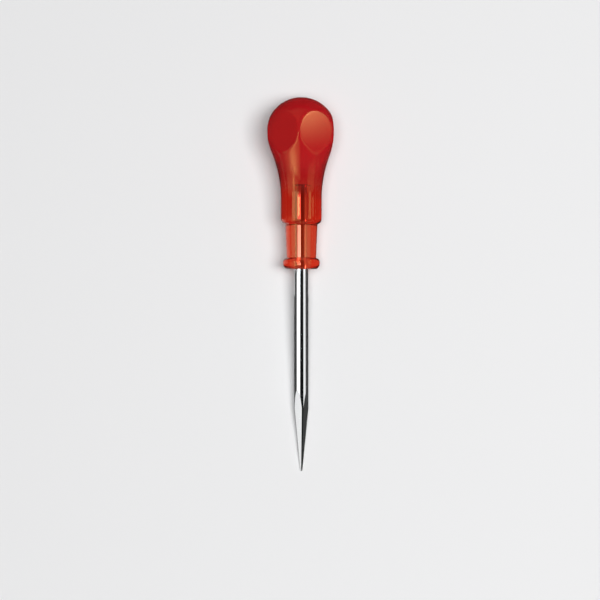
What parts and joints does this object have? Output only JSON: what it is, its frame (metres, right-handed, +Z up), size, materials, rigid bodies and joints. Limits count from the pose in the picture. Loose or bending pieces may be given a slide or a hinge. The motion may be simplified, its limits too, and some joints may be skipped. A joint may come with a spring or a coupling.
{
  "type": "cone reamer",
  "caption": "Hand reamer with a transparent red pear-shaped handle and a bright round steel blade that ends in a tapered four-sided point.",
  "frame": {"origin": "on the tool's axis, in the flat lower face of the handle's flange, where the shank leaves the handle", "axes": "+Y along the tool towards the handle's crown, so the point is at -Y; +Z up, through a ridge of the bulb, opposite the flat it lies on; +X to the right"},
  "size_m": [0.0382, 0.213, 0.0363],
  "materials": {
    "red_plastic": "transparent, polished",
    "bright_steel": "polished chrome plate"
  },
  "bodies": {
    "root": {"handle": "red_plastic", "blade": "bright_steel"}
  },
  "joints": []
}
